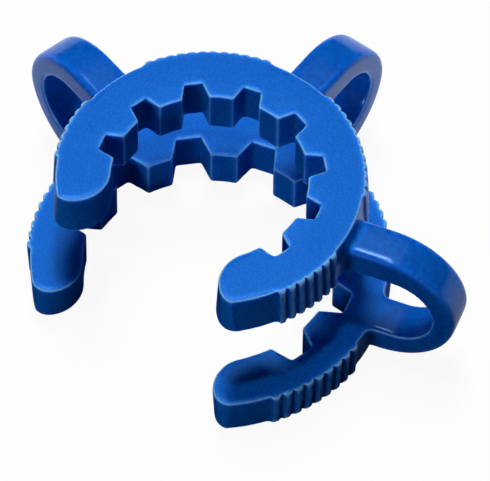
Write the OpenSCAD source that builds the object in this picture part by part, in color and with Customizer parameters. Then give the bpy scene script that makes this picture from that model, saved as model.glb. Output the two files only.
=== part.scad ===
// Spring clip that holds a ground glass joint together.
// One moulding: a small C-shaped jaw grips the tube, a larger one grips the socket,
// and three U-shaped straps join them and give when the clip is pushed on.
// Millimetres. The origin is on the jaws' axis, at the underside of the socket jaw.
// The mouth opens towards -Y and the back strap points towards +Y.

/* [Tube jaw] */
// Radius of the circle that the tube jaw's teeth close on
tube_bore_r = 9.2; // [7:0.1:12]
// Distance from those teeth to the rim, at the rim's widest edge
tube_jaw_depth = 5.4; // [4.5:0.1:6.5]
// Thickness of the tube jaw
tube_jaw_t = 4.8; // [4:0.1:7]
// Depth of the notches between its teeth
tube_notch_depth = 1.6; // [0.8:0.1:2.2]
// Width of a notch where it opens into the bore
tube_notch_mouth = 2.5; // [2:0.1:3]
// Width of a notch at its floor
tube_notch_floor = 1.7; // [1:0.1:2]
// Angle from the middle of the mouth to the centre of each lip's nose
tube_lip_angle = 55.5; // [52:0.5:60]
// Angle from one grip rib to the next
tube_rib_pitch = 4.1; // [3.8:0.1:4.3]
// Angle from the middle of the mouth to the middle of the ribs beside each lip
tube_front_ribs_angle = 76.5; // [75:0.5:77]
// Number of grip ribs between each lip and its side strap
tube_front_ribs = 7; // [3:1:7]
// Number of grip ribs between each side strap and the back strap
tube_rear_ribs = 12; // [4:1:12]

/* [Socket jaw] */
// Radius of the circle that the socket jaw's teeth close on
socket_bore_r = 11.9; // [9.5:0.1:14]
// Distance from those teeth to the rim, at the rim's widest edge
socket_jaw_depth = 5.1; // [4.5:0.1:6.5]
// Thickness of the socket jaw
socket_jaw_t = 4.4; // [3.5:0.1:6]
// Depth of the notches between its teeth
socket_notch_depth = 2.1; // [1:0.1:2.6]
// Width of a notch where it opens into the bore
socket_notch_mouth = 3.6; // [2.6:0.1:4]
// Width of a notch at its floor
socket_notch_floor = 2.4; // [1.4:0.1:2.6]
// Angle from the middle of the mouth to the centre of each lip's nose
socket_lip_angle = 51; // [46:0.5:56]
// Angle from one grip rib to the next
socket_rib_pitch = 3.9; // [3.6:0.1:4]
// Angle from the middle of the mouth to the middle of the ribs beside each lip
socket_front_ribs_angle = 74; // [73:0.5:75]
// Number of grip ribs between each lip and its side strap
socket_front_ribs = 9; // [3:1:9]
// Number of grip ribs between each side strap and the back strap
socket_rear_ribs = 12; // [4:1:12]

/* [Both jaws] */
// Clear gap between the jaws, for the joint's collar
jaw_gap = 8.2; // [6:0.1:11]
// Number of notches in each bore
notch_count = 8; // [4:2:8]
// Angle from one notch to the next
notch_pitch = 30; // [28:0.5:30]
// Radius of the lips' noses, which lead the glass in
nose_r = 3.5; // [3:0.1:3.8]
// Radius that rounds the outer corner of each lip
lip_corner_r = 1.8; // [0.6:0.1:2]
// Bevel on the ribs' crests at the face away from the gap
rib_bevel = 0.25; // [0.1:0.01:0.3]
// Slope of the rims and lips, so that they leave the mould
draft = 2.5; // [0.5:0.5:3]
// Height of the grip ribs above the rim
rib_h = 0.37; // [0.2:0.01:0.5]
// Flat left on the rim between two ribs
rib_land = 0.12; // [0.08:0.01:0.2]

/* [Straps] */
// Angle from the middle of the mouth to each side strap
side_strap_angle = 105; // [104:0.5:106]
// Width of a strap
strap_w = 4.1; // [3:0.1:4.4]
// Thickness of the leg that joins the tube jaw
top_leg_t = 3.1; // [2.4:0.1:4]
// Thickness of the leg that joins the socket jaw
bottom_leg_t = 3; // [2:0.1:3.4]
// Thickness at the outermost point of the bend
bend_t = 2.2; // [1.8:0.1:3.4]
// Depth of the eye inside a strap, outwards from the wider jaw's rim
eye_depth = 6.1; // [4.8:0.1:9]
// Radius of a strap's outer edges
strap_edge_r = 0.5; // [0.2:0.05:0.9]
// Height of the ridge where the two mould halves meet round the bend
ridge = 0.25; // [0.1:0.05:0.5]
// Radius of the fillets where a strap's sides meet the rims
root_fillet_r = 0.6; // [0.3:0.1:0.8]

/* [Hidden] */
$fn = 96;

// Segments in a strap's rounded edge, in each curve of a lip, and over a rib's crest
corner_steps = 4;
lip_steps = 12;
rib_steps = 8;
// Overlap that makes joined pieces one solid, and overrun that makes cuts clean
sink = 1;
overrun = 1;
// How far the curves of a lip run past the bore and the rim, so that the surfaces cross
lead_in = 0.05;

tube_rim_r = tube_bore_r + tube_jaw_depth;
socket_rim_r = socket_bore_r + socket_jaw_depth;
tube_jaw_z = socket_jaw_t + jaw_gap;

// The eye inside a strap is as high as the gap, so its flats run into the jaws' faces
eye_r = jaw_gap / 2;
eye_reach = max(tube_rim_r, socket_rim_r) + eye_depth;
eye_x = eye_reach - eye_r;
eye_z = socket_jaw_t + eye_r;

// The outside of a strap is two arcs, each centred past the ridge between them
strap_half_h = (top_leg_t + jaw_gap + bottom_leg_t) / 2;
ridge_z = socket_jaw_t - bottom_leg_t + strap_half_h;
arc_r = strap_half_h + ridge;
arc_x = eye_reach + bend_t - sqrt(arc_r * arc_r - ridge * ridge);
strap_angles = [side_strap_angle, 180, 360 - side_strap_angle];

// Points on an arc from angle a to angle b
function arc(centre, r, a, b, steps) = [
    for (i = [0:steps]) centre + r * [cos(a + (b - a) * i / steps), sin(a + (b - a) * i / steps)]
];

function mirrored(points) = [for (i = [len(points) - 1:-1:0]) [-points[i].x, points[i].y]];

// Angle at the corner between sides p and q of a triangle whose third side is s
function corner_angle(p, q, s) = acos((p * p + q * q - s * s) / (2 * p * q));

function turned(p, angle) = [p.x * cos(angle) - p.y * sin(angle), p.x * sin(angle) + p.y * cos(angle)];

// Turns something drawn along +X to an angle measured from the middle of the mouth
module at_mouth_angle(angle) {
    rotate([0, 0, angle - 90]) children();
}

// Runs an outline past both faces of a jaw. It shrinks towards the origin as z rises, by a
// share of its size for each millimetre.
module tapered(t, shrink) {
    low = 1 + overrun * shrink;
    high = 1 - (t + overrun) * shrink;
    translate([0, 0, -overrun])
        linear_extrude(t + 2 * overrun, scale = high / low) scale(low) children();
}

// A solid disc with a drafted wall, widest at z = 0, that runs past both faces of a jaw
module rim_core(rim_r, t) {
    slope = tan(draft);
    translate([0, 0, -overrun])
        cylinder(r1 = rim_r + overrun * slope, r2 = rim_r - (t + overrun) * slope, h = t + 2 * overrun);
}

// The space that a jaw and its ribs may fill: two flat faces and a bevel at z = t
module rim_limits(rim_r, t) {
    rib_top_r = rim_r + rib_h - t * tan(draft);
    rotate_extrude() polygon([
        [0, 0],
        [rim_r + 2 * rib_h, 0],
        [rib_top_r + rib_h, t - rib_bevel - rib_h],
        [rib_top_r - rib_bevel, t],
        [0, t]
    ]);
}

// The crests of a run of ribs, centred on an angle from the middle of the mouth. Each is an arc
// that stands rib_h proud of the rim.
function rib_crests(rim_r, middle, count, pitch) =
    let (
        foot = rim_r * pitch * PI / 180 - rib_land,
        crest_r = (rib_h * rib_h + foot * foot / 4) / (2 * rib_h),
        half_turn = atan2(foot / 2, crest_r - rib_h),
        crest = arc([rim_r + rib_h - crest_r, 0], crest_r, -half_turn, half_turn, rib_steps)
    )
    [
        for (i = [0:count - 1])
            for (p = crest) turned(p, middle - 90 + (i - (count - 1) / 2) * pitch)
    ];

// A run of ribs, as a slice of the jaw from its axis outwards
module rib_run(rim_r, t, middle, count, pitch) {
    tapered(t, tan(draft) / rim_r)
        polygon(concat([[0, 0]], rib_crests(rim_r, middle, count, pitch)));
}

// A jaw before its bore and mouth are cut: the rim and the ribs on both of its sides
module ribbed_rim(rim_r, t, front_count, front_middle, rear_count, pitch) {
    rear_middle = (side_strap_angle + 180) / 2;
    intersection() {
        rim_limits(rim_r, t);
        union() {
            rim_core(rim_r, t);
            for (side = [0, 1]) mirror([side, 0, 0]) {
                rib_run(rim_r, t, front_middle, front_count, pitch);
                rib_run(rim_r, t, rear_middle, rear_count, pitch);
            }
        }
    }
}

// The lip on the right of the mouth: a nose that leads into the bore, then a rounded corner at the rim
function lip_edge(bore_r, rim_r, lip_angle) =
    let (
        to_nose = bore_r + nose_r - lead_in,
        to_corner = rim_r - lip_corner_r + lead_in,
        nose_to_corner = nose_r - lip_corner_r,
        nose_dir = lip_angle - 90,
        corner_dir = nose_dir - corner_angle(to_nose, to_corner, nose_to_corner),
        turn = corner_angle(to_nose, nose_to_corner, to_corner),
        nose = to_nose * [cos(nose_dir), sin(nose_dir)],
        corner = to_corner * [cos(corner_dir), sin(corner_dir)]
    )
    concat(
        arc(nose, nose_r, nose_dir + 180, nose_dir + 180 + turn, lip_steps),
        arc(corner, lip_corner_r, nose_dir + 180 + turn, corner_dir + 360, lip_steps)
    );

// What the mouth takes away between the two lips. It widens as z rises, about a point in front
// of the mouth.
module mouth_cut(bore_r, rim_r, lip_angle, t) {
    lip = lip_edge(bore_r, rim_r, lip_angle);
    past_rim = lip[len(lip) - 1] * (1 + overrun / rim_r);
    front_y = -rim_r - 2 * overrun;
    side = concat(lip, [past_rim, [past_rim.x, front_y]]);
    reach = rim_r - bore_r * cos(lip_angle);
    translate([0, -rim_r, 0])
        tapered(t, -tan(draft) / reach)
            translate([0, rim_r]) polygon(concat(side, mirrored(side)));
}

// One notch between two teeth, drawn along +X
module notch_cut(bore_r, depth, mouth_w, floor_w, t) {
    flank = (mouth_w - floor_w) / 2 / depth;
    inner_w = mouth_w + 2 * flank * overrun;
    translate([0, 0, -overrun])
        linear_extrude(t + 2 * overrun) polygon([
            [bore_r - overrun, -inner_w / 2],
            [bore_r + depth, -floor_w / 2],
            [bore_r + depth, floor_w / 2],
            [bore_r - overrun, inner_w / 2]
        ]);
}

// A jaw with its widest edge, and the face that meets the gap, at z = 0
module jaw(
    bore_r, rim_r, t, lip_angle,
    notch_depth, notch_mouth, notch_floor,
    front_ribs, front_ribs_angle, rear_ribs, rib_pitch
) {
    difference() {
        ribbed_rim(rim_r, t, front_ribs, front_ribs_angle, rear_ribs, rib_pitch);
        translate([0, 0, -overrun]) cylinder(r = bore_r, h = t + 2 * overrun);
        mouth_cut(bore_r, rim_r, lip_angle, t);
        for (i = [0:notch_count - 1])
            at_mouth_angle(180 + (i - (notch_count - 1) / 2) * notch_pitch)
                notch_cut(bore_r, notch_depth, notch_mouth, notch_floor, t);
    }
}

module tube_jaw() {
    translate([0, 0, tube_jaw_z])
        jaw(
            bore_r = tube_bore_r, rim_r = tube_rim_r, t = tube_jaw_t, lip_angle = tube_lip_angle,
            notch_depth = tube_notch_depth, notch_mouth = tube_notch_mouth,
            notch_floor = tube_notch_floor,
            front_ribs = tube_front_ribs, front_ribs_angle = tube_front_ribs_angle,
            rear_ribs = tube_rear_ribs, rib_pitch = tube_rib_pitch
        );
}

module socket_jaw() {
    translate([0, 0, socket_jaw_t]) mirror([0, 0, 1])
        jaw(
            bore_r = socket_bore_r, rim_r = socket_rim_r, t = socket_jaw_t, lip_angle = socket_lip_angle,
            notch_depth = socket_notch_depth, notch_mouth = socket_notch_mouth,
            notch_floor = socket_notch_floor,
            front_ribs = socket_front_ribs, front_ribs_angle = socket_front_ribs_angle,
            rear_ribs = socket_rear_ribs, rib_pitch = socket_rib_pitch
        );
}

// Half a strap's section: x runs out from the middle of the bend, y runs across the strap
module strap_section() {
    corner_x = arc_r - strap_edge_r;
    corner_y = strap_w / 2 - strap_edge_r;
    polygon(concat(
        [[0, -strap_w / 2]],
        arc([corner_x, -corner_y], strap_edge_r, -90, 0, corner_steps),
        arc([corner_x, corner_y], strap_edge_r, 0, 90, corner_steps),
        [[0, strap_w / 2]]
    ));
}

// The half of a strap above its ridge: a leg from root_r out to the bend, and a quarter turn
module half_strap(root_r) {
    leg = arc_x - root_r;
    intersection() {
        translate([0, 0, -ridge]) {
            rotate([90, 0, 0]) rotate_extrude(angle = 90) strap_section();
            rotate([0, -90, 0]) linear_extrude(leg) strap_section();
        }
        translate([-leg, -strap_w, 0]) cube([leg + arc_r, 2 * strap_w, arc_r]);
    }
}

// The slot with a round end that the bend runs round
module eye_cut() {
    translate([eye_x, 0, eye_z]) rotate([90, 0, 0]) cylinder(r = eye_r, h = 2 * strap_w, center = true);
    translate([0, -strap_w, socket_jaw_t]) cube([eye_x, 2 * strap_w, jaw_gap]);
}

// Fillets where the sides of a leg meet a rim, from height z up to z + h
module root_fillets(rim_r, z, h) {
    side_y = strap_w / 2 + root_fillet_r;
    to_centre = rim_r + root_fillet_r;
    centre = [sqrt(to_centre * to_centre - side_y * side_y), side_y];
    rim_dir = atan2(centre.y, centre.x);
    on_rim = rim_r * [cos(rim_dir), sin(rim_dir)];
    web = concat(
        arc(centre, root_fillet_r, 270, rim_dir + 180, corner_steps),
        [on_rim - [sink, 0], [on_rim.x - sink, 0], [centre.x, 0]]
    );
    for (side = [0, 1]) mirror([0, side, 0])
        translate([0, 0, z]) linear_extrude(h) polygon(web);
}

// A whole strap, drawn along +X
module strap() {
    difference() {
        translate([arc_x, 0, ridge_z]) {
            half_strap(tube_rim_r - sink);
            mirror([0, 0, 1]) half_strap(socket_rim_r - sink);
        }
        eye_cut();
    }
    root_fillets(tube_rim_r, tube_jaw_z, top_leg_t - strap_edge_r);
    root_fillets(socket_rim_r, socket_jaw_t - bottom_leg_t + strap_edge_r, bottom_leg_t - strap_edge_r);
}

module clip() {
    color("#1560d0") {
        tube_jaw();
        socket_jaw();
        for (angle = strap_angles) at_mouth_angle(angle) strap();
    }
}

clip();
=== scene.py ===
import math

import bmesh
import bpy
from mathutils import Matrix, Vector


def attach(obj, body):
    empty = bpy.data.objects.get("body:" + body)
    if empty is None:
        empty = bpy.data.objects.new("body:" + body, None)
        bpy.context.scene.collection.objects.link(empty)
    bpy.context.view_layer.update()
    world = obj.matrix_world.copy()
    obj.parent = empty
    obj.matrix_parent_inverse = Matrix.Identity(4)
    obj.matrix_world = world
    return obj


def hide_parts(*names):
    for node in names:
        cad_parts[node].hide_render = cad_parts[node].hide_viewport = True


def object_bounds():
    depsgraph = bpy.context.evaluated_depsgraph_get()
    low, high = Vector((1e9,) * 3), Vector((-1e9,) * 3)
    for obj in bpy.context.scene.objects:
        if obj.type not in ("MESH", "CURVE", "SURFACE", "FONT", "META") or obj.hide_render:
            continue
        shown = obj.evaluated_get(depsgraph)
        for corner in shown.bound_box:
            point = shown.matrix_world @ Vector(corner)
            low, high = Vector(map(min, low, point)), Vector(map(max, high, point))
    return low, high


# Spring clip for a ground glass joint: one blue acetal moulding on a white table.

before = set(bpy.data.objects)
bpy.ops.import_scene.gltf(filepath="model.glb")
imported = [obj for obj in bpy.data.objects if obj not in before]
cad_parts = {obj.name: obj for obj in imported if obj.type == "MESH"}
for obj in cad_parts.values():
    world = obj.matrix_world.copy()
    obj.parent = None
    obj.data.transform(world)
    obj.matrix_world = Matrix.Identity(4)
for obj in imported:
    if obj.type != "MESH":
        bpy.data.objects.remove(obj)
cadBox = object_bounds()
scene = bpy.context.scene
mm = 0.001


def linearColour(hexColour):
    channels = [int(hexColour[i:i + 2], 16) / 255 for i in (1, 3, 5)]
    return [c / 12.92 if c <= 0.04045 else ((c + 0.055) / 1.055) ** 2.4 for c in channels] + [1]


def addNode(tree, kind, settings={}, links={}):
    node = tree.nodes.new(kind)
    for name, value in settings.items():
        if isinstance(name, str) and hasattr(node, name):
            setattr(node, name, value)
        else:
            node.inputs[name].default_value = value
    for name, source in links.items():
        tree.links.new(source, node.inputs[name])
    return node


def newMaterial(name):
    material = bpy.data.materials.new(name)
    material.use_nodes = True
    tree = material.node_tree
    tree.nodes.clear()
    return material, tree


# The camera looks down on the mouth from the front right, through a long lens.
view = {
    "azimuth": 36.06,        # degrees, as are the next two
    "elevation": 54.77,
    "roll": 0.72,
    "target": (7.02 * mm, -3.94 * mm, 17.5 * mm),
    "distance": 0.648,       # metres from the target
    "nearest": 0.01,         # metres, anything closer isn't seen
    "lens": 515.2,           # millimetres
    "sensor": 36,            # millimetres wide
}


def placeCamera():
    camera = bpy.data.objects.new("camera", bpy.data.cameras.new("camera"))
    camera.data.sensor_width = view["sensor"]
    camera.data.lens = view["lens"]
    camera.data.clip_start = view["nearest"]
    turn = (
        Matrix.Rotation(math.radians(view["azimuth"]), 4, "Z")
        @ Matrix.Rotation(math.radians(90 - view["elevation"]), 4, "X")
        @ Matrix.Rotation(math.radians(view["roll"]), 4, "Z")
    )
    camera.matrix_world = (
        Matrix.Translation(view["target"]) @ turn @ Matrix.Translation((0, 0, view["distance"]))
    )
    scene.collection.objects.link(camera)
    scene.camera = camera


placeCamera()
print("camera placed")

# Sizes in millimetres, angles in degrees from the middle of the mouth.
clip = {
    "weld": 0.001,           # corners of the loose triangles that are nearer than this join
    "voxel": 0.1,            # grid that the moulding is rebuilt on, fine enough for its ribs
    "pull": 0.5,             # how far a smoothing pass moves a point towards its neighbours
    "ribPasses": 2,          # smoothing passes that soften the ribs
    "toothPasses": 12,       # more, that round the teeth and notches
    "wearAndHighlightPasses": 10,        # more, that find the edges painted pale, as wear and as a highlight
    "edgePasses": 12,        # more, that round the rims, lips and straps
    "glowBandPasses": 28,        # and more, that find the wider bands beside the edges, where a glow is painted
    "ribWearAndHighlight": 0.4,          # how much paler the ribs' edges are, as wear and painted highlight
    "ribDepth": (0.7, 0.3),  # depth under the rim where nothing counts as rib, and all does
    "ribFade": 1,            # either side of the end of a run of ribs
    "rimDepth": (3, 2),      # depth under the rim where nothing is rounded as a rim, and all is
    "lipFade": 3,            # either side of a lip's root
    "triangles": 190000,
    "split": 8.5,            # height that parts the upper jaw from the lower
    "tube": {                # the upper jaw
        "rim": 14.6,         # radius
        "strap": 15.3,       # radius, straps start outside it
        "floor": 12.4,       # lowest height that has ribs
        "lip": 60,           # a lip's root
        "ribs": [(62, 91), (117, 168)],
    },
    "socket": {              # the lower jaw
        "rim": 17.0,
        "strap": 17.6,
        "floor": -1,
        "lip": 54,
        "ribs": [(56.5, 91.5), (117, 168)],
    },
}


def appliedMesh(piece):
    mesh = bpy.data.meshes.new_from_object(
        piece.evaluated_get(bpy.context.evaluated_depsgraph_get())
    )
    piece.modifiers.clear()
    piece.data = mesh
    return mesh


def smoothed(bm, passes):
    for i in range(passes):
        bmesh.ops.smooth_vert(
            bm, verts=bm.verts, factor=clip["pull"],
            use_axis_x=True, use_axis_y=True, use_axis_z=True,
        )
    return [v.co.copy() for v in bm.verts]


# How many steps of the grid smoothing has drawn a point in, which is most at an edge
def drawnIn(v, corner):
    return (corner - v.co).dot(v.normal) / (clip["voxel"] * mm)


def ramp(value, start, end):
    return min(1, max(0, (value - start) / (end - start)))


def jawAt(p):
    return clip["tube"] if p.z > clip["split"] * mm else clip["socket"]


# How far a point is on the ribs, and on the jaws' outsides rather than their teeth
def edgeShares(p):
    jaw = jawAt(p)
    angle = math.degrees(math.atan2(abs(p.x), -p.y))
    depth = jaw["rim"] - math.hypot(p.x, p.y) / mm
    fade = clip["ribFade"]
    along = max(
        min(ramp(angle, a - fade, a + fade), ramp(angle, b + fade, b - fade))
        for a, b in jaw["ribs"]
    )
    ribs = along * ramp(depth, *clip["ribDepth"]) if p.z > jaw["floor"] * mm else 0
    lip, fade = jaw["lip"], clip["lipFade"]
    outside = max(ramp(depth, *clip["rimDepth"]), ramp(angle, lip + fade, lip - fade))
    return ribs, outside


def makeClip():
    piece = bpy.data.objects.new("clipMoulding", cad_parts["clip"].data.copy())
    scene.collection.objects.link(piece)
    bm = bmesh.new()
    bm.from_mesh(piece.data)
    bmesh.ops.remove_doubles(bm, verts=bm.verts, dist=clip["weld"] * mm)
    bm.to_mesh(piece.data)
    bm.free()
    remesh = piece.modifiers.new("grid", "REMESH")
    remesh.mode = "VOXEL"
    remesh.voxel_size = clip["voxel"] * mm
    mesh = appliedMesh(piece)
    print("rebuilt on a grid:", len(mesh.polygons), "faces")

    bm = bmesh.new()
    bm.from_mesh(mesh)
    edge = bm.verts.layers.float.new("edge")
    paintedGlowBand = bm.verts.layers.float.new("paintedGlowBand")
    sharp = smoothed(bm, 0)
    crisp = smoothed(bm, clip["ribPasses"])
    soft = smoothed(bm, clip["toothPasses"])
    smoothed(bm, clip["wearAndHighlightPasses"])
    bm.normal_update()
    shares = [edgeShares(p) for p in crisp]
    # A pale line along the edges, partly wear and partly a painted highlight, more on the ribs.
    for v, corner, (ribs, _) in zip(bm.verts, sharp, shares):
        v[edge] = drawnIn(v, corner) * (1 + clip["ribWearAndHighlight"] * ribs)
    rounded = smoothed(bm, clip["edgePasses"])
    smoothed(bm, clip["glowBandPasses"])
    # Round the edges, and keep the wider band beside each edge where a glow is painted.
    for v, corner, rib, tooth, rim, (ribs, outside) in zip(
        bm.verts, sharp, crisp, soft, rounded, shares
    ):
        v[paintedGlowBand] = drawnIn(v, corner)
        v.co = tooth.lerp(rim, outside).lerp(rib, ribs)
    bm.to_mesh(mesh)
    bm.free()

    decimate = piece.modifiers.new("thin", "DECIMATE")
    decimate.ratio = clip["triangles"] / (2 * len(mesh.polygons))  # the grid's faces are squares
    mesh = appliedMesh(piece)
    low, high = cadBox[0][2], cadBox[1][2]
    for v in mesh.vertices:
        v.co.z = min(high, max(low, v.co.z))  # thinning can lift a flat face by a micrometre
    mesh.shade_smooth()
    print("thinned to", len(mesh.polygons), "faces")
    normals = piece.modifiers.new("normals", "WEIGHTED_NORMAL")
    normals.keep_sharp = False
    return piece


# Acetal, injection moulded and dyed through: a deep even blue that is paler along its edges,
# partly worn and partly a painted highlight, with a painted glow beside them. Spark eroded
# faces of the mould leave a fine matt grain on the jaws.
grainedAcetal = {
    "blue": "#0a6cd0",
    "deepBlue": "#0858ba",   # the grain's hollows
    "paintedGlowBlue": "#2a88f4",   # a painted glow beside an edge, for light that leaks through the plastic
    "wornAndHighlightBlue": "#8cc4ff",   # edges, partly worn and partly a painted highlight
    "gloss": "#3c9cff",      # tint of the reflection seen face on; it goes white at a glance
    "roughness": 0.3,
    "ior": 1.48,
    "depth": 1.0,            # share of light that spreads inside the plastic
    "glowDepth": 1.2,        # millimetres, how far blue light spreads
    "spread": (0.05, 0.35, 1.0),  # red, green and blue, as shares of glowDepth
    "grain": 0.22,           # millimetres
    "grainDetail": 2,        # finer layers in the grain
    "grainFade": 0.6,        # how strong each finer layer is beside the last
    "hollows": (0.35, 0.6),  # height of the grain where all is hollow, and where none is
    "relief": 0.03,          # millimetres
    "bump": 0.35,            # share of the relief that shows
    "paintedGlowBand": (0.1, 1.1),      # steps of the grid where the painted glow beside an edge starts, is full
    "speckle": 0.6,          # how much the grain breaks that band up
    "wearAndHighlight": (0.38, 0.85),    # steps of the grid where the pale edge line starts, is full
    "wearAndHighlightShare": 0.9,        # how pale that line is at most
}
# The straps' side of the mould is polished, so the same acetal is glossier there.
polishedAcetal = {
    **grainedAcetal,
    "blue": "#0a66c8",
    # a weaker painted glow beside the straps' edges
    "paintedGlowBlue": "#1070dc",
    "gloss": "#90c4ff",
    "roughness": 0.19,
    "grain": 0.5,
    "relief": 0.012,
}


# The attributes come from makeClip: edge places the pale line, partly wear and partly a
# painted highlight, and the other places the painted glow beside it.
def makeAcetal(name, finish):
    material, tree = newMaterial(name)
    coords = addNode(tree, "ShaderNodeTexCoord").outputs["Object"]
    edge = addNode(tree, "ShaderNodeAttribute", {"attribute_name": "edge"}).outputs["Fac"]
    paintedGlowBand = addNode(tree, "ShaderNodeAttribute", {"attribute_name": "paintedGlowBand"}).outputs["Fac"]
    grain = addNode(
        tree, "ShaderNodeTexNoise",
        {
            "Scale": 1 / (finish["grain"] * mm),
            "Detail": finish["grainDetail"],
            "Roughness": finish["grainFade"],
        },
        {"Vector": coords},
    ).outputs["Fac"]
    hollows = addNode(
        tree, "ShaderNodeMapRange",
        {"From Min": finish["hollows"][0], "From Max": finish["hollows"][1]}, {"Value": grain},
    ).outputs["Result"]
    beside = addNode(
        tree, "ShaderNodeMapRange",
        {"From Min": finish["paintedGlowBand"][0], "From Max": finish["paintedGlowBand"][1]}, {"Value": paintedGlowBand},
    ).outputs["Result"]
    # Pale line along the edges: partly wear, partly a painted highlight.
    wornAndHighlight = addNode(
        tree, "ShaderNodeMapRange",
        {
            "From Min": finish["wearAndHighlight"][0],
            "From Max": finish["wearAndHighlight"][1],
            "To Max": finish["wearAndHighlightShare"],
        },
        {"Value": edge},
    ).outputs["Result"]
    dyed = addNode(
        tree, "ShaderNodeMix",
        {
            "data_type": "RGBA",
            6: linearColour(finish["deepBlue"]),
            7: linearColour(finish["blue"]),
        },
        {"Factor": hollows},
    ).outputs[2]
    speckle = addNode(
        tree, "ShaderNodeMath",
        {"operation": "MULTIPLY_ADD", 1: finish["speckle"], 2: 1 - finish["speckle"]},
        {0: hollows},
    ).outputs[0]
    # Painted glow: a paler blue in the band beside each edge, broken up by the grain.
    paintedGlow = addNode(
        tree, "ShaderNodeMath", {"operation": "MULTIPLY"}, {0: beside, 1: speckle}
    ).outputs[0]
    withPaintedGlow = addNode(
        tree, "ShaderNodeMix", {"data_type": "RGBA", 7: linearColour(finish["paintedGlowBlue"])},
        {"Factor": paintedGlow, 6: dyed},
    ).outputs[2]
    colour = addNode(
        tree, "ShaderNodeMix", {"data_type": "RGBA", 7: linearColour(finish["wornAndHighlightBlue"])},
        {"Factor": wornAndHighlight, 6: withPaintedGlow},
    ).outputs[2]
    bump = addNode(
        tree, "ShaderNodeBump", {"Strength": finish["bump"], "Distance": finish["relief"] * mm},
        {"Height": grain},
    ).outputs["Normal"]
    surface = addNode(
        tree, "ShaderNodeBsdfPrincipled",
        {
            "Roughness": finish["roughness"],
            "IOR": finish["ior"],
            "Specular Tint": linearColour(finish["gloss"]),
            "Subsurface Weight": finish["depth"],
            "Subsurface Radius": finish["spread"],
            "Subsurface Scale": finish["glowDepth"] * mm,
        },
        {"Base Color": colour, "Normal": bump},
    ).outputs["BSDF"]
    addNode(tree, "ShaderNodeOutputMaterial", {}, {"Surface": surface})
    return material


def onStraps(p):
    return math.hypot(p.x, p.y) > jawAt(p)["strap"] * mm


piece = makeClip()
piece.data.materials.clear()
piece.data.materials.append(makeAcetal("grainedAcetal", grainedAcetal))
piece.data.materials.append(makeAcetal("polishedAcetal", polishedAcetal))
for face in piece.data.polygons:
    face.material_index = int(onStraps(face.center))
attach(piece, "root")
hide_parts("clip")
print("clip made")

# The camera sees one even white, lifted by glow, with a faint shadow. The clip gets back white
# light from behind it and grey light from in front, where shade is painted on the table as a
# grey tone. It mirrors only the open part of the table behind it, which glows as a painted
# reflection; under and in front of the clip the reflection is painted dark.
table = {
    "size": 3.0,             # metres
    "gap": 0.02 * mm,        # under the clip, so that no two faces lie in one plane
    "white": "#f2f2f0",
    # painted shade: the grey that the table's front gives back to the clip
    "paintedShadeGrey": "#6c6c6c",
    "glow": 0.93,            # share of plain white in what the camera sees
    "paintedReflectionTint": "#d8e4ff",
    "paintedReflectionWhite": 1.1,    # strength of the open part in the plastic's painted reflections
    "paintedReflectionShade": 0.0,    # and of the rest, painted dark
    "openSide": (-0.3, 0.95, 0),
    "shadeFrom": -6 * mm,    # along openSide, where the table starts to be open
    "shadeTo": 14 * mm,      # and is fully open
    "footprint": (14 * mm, 27 * mm),  # radii: under the clip, painted dark in reflections; clear of it
}


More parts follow.
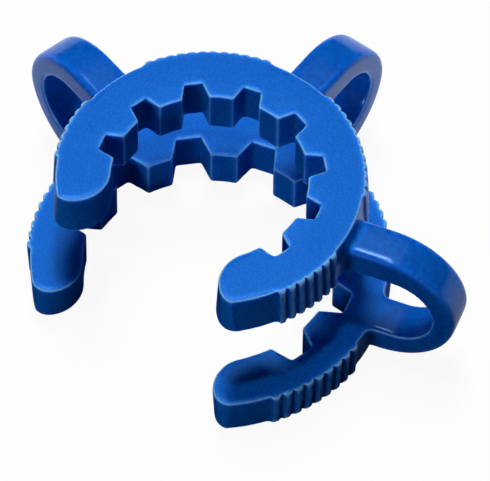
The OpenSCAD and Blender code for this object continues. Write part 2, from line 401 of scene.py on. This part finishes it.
def makeTable():
    bm = bmesh.new()
    bmesh.ops.create_grid(bm, x_segments=1, y_segments=1, size=table["size"] / 2)
    bmesh.ops.translate(bm, verts=bm.verts, vec=(0, 0, -table["gap"]))
    mesh = bpy.data.meshes.new("table")
    bm.to_mesh(mesh)
    bm.free()
    top = bpy.data.objects.new("table", mesh)
    scene.collection.objects.link(top)
    material, tree = newMaterial("whiteTable")
    white = linearColour(table["white"])
    path = addNode(tree, "ShaderNodeLightPath")
    glow = addNode(tree, "ShaderNodeEmission", {"Color": (1, 1, 1, 1), "Strength": 1})
    lit = addNode(tree, "ShaderNodeBsdfDiffuse", {"Color": white})
    seen = addNode(
        tree, "ShaderNodeMixShader",
        {"Fac": table["glow"]}, {1: lit.outputs[0], 2: glow.outputs[0]},
    )
    coords = addNode(tree, "ShaderNodeTexCoord").outputs["Object"]
    along = addNode(
        tree, "ShaderNodeVectorMath",
        {"operation": "DOT_PRODUCT", 1: table["openSide"]}, {0: coords},
    )
    opened = addNode(
        tree, "ShaderNodeMapRange",
        {"From Min": table["shadeFrom"], "From Max": table["shadeTo"]},
        {"Value": along.outputs["Value"]},
    ).outputs["Result"]
    away = addNode(tree, "ShaderNodeVectorMath", {"operation": "LENGTH"}, {0: coords})
    clear = addNode(
        tree, "ShaderNodeMapRange",
        {"From Min": table["footprint"][0], "From Max": table["footprint"][1]},
        {"Value": away.outputs["Value"]},
    ).outputs["Result"]
    bare = addNode(
        tree, "ShaderNodeMath", {"operation": "MULTIPLY"}, {0: opened, 1: clear}
    ).outputs[0]
    # Painted shade: the table gives back grey light in front of the clip and white behind it.
    tone = addNode(
        tree, "ShaderNodeMix",
        {"data_type": "RGBA", 6: linearColour(table["paintedShadeGrey"]), 7: white}, {"Factor": opened},
    )
    lightens = addNode(tree, "ShaderNodeBsdfDiffuse", {}, {"Color": tone.outputs[2]})
    mirrored = addNode(
        tree, "ShaderNodeMath", {"operation": "MAXIMUM"},
        {0: path.outputs["Is Transmission Ray"], 1: path.outputs["Is Glossy Ray"]},
    )
    # Painted reflection: only the open part behind the clip glows in its reflections, the rest
    # is dark.
    shine = addNode(
        tree, "ShaderNodeMapRange",
        {"To Min": table["paintedReflectionShade"], "To Max": table["paintedReflectionWhite"]}, {"Value": bare},
    )
    reflected = addNode(
        tree, "ShaderNodeEmission", {"Color": linearColour(table["paintedReflectionTint"])},
        {"Strength": shine.outputs["Result"]},
    )
    around = addNode(
        tree, "ShaderNodeMixShader", {},
        {"Fac": mirrored.outputs[0], 1: lightens.outputs[0], 2: reflected.outputs[0]},
    )
    surface = addNode(
        tree, "ShaderNodeMixShader", {},
        {"Fac": path.outputs["Is Camera Ray"], 1: around.outputs[0], 2: seen.outputs[0]},
    )
    addNode(tree, "ShaderNodeOutputMaterial", {}, {"Surface": surface.outputs[0]})
    mesh.materials.append(material)


makeTable()
print("table made")

# Round lamps that face the clip: angles in degrees, size in metres across. Azimuth is turned
# from the clip's right towards its back.
lamps = {
    "key": {"azimuth": 136, "elevation": 70, "size": 0.26, "watts": 4.1},    # behind, left
    "zenith": {"azimuth": 0, "elevation": 90, "size": 0.06, "watts": 1.4},   # overhead
    "front": {"azimuth": -94, "elevation": 13, "size": 0.2, "watts": 1.35},  # low, for lips
    "back": {"azimuth": 88, "elevation": 67, "size": 0.3, "watts": 0.35},    # a soft fill
}
lampDistance = 0.8           # metres
roomLight = 0.01             # strength of the even white light from all round


def lightTable():
    for name, lamp in lamps.items():
        light = bpy.data.lights.new(name, "AREA")
        light.shape = "DISK"
        light.size = lamp["size"]
        light.energy = lamp["watts"]
        holder = bpy.data.objects.new(name, light)
        azimuth, elevation = math.radians(lamp["azimuth"]), math.radians(lamp["elevation"])
        across = lampDistance * math.cos(elevation)
        holder.location = (
            across * math.cos(azimuth),
            across * math.sin(azimuth),
            lampDistance * math.sin(elevation),
        )
        holder.rotation_euler = Vector(holder.location).to_track_quat("Z", "Y").to_euler()
        scene.collection.objects.link(holder)
    world = bpy.data.worlds.new("room")
    world.use_nodes = True
    background = world.node_tree.nodes["Background"]
    background.inputs["Color"].default_value = (1, 1, 1, 1)
    background.inputs["Strength"].default_value = roomLight
    scene.world = world
    scene.view_settings.view_transform = "Standard"


lightTable()
print("lamps lit")
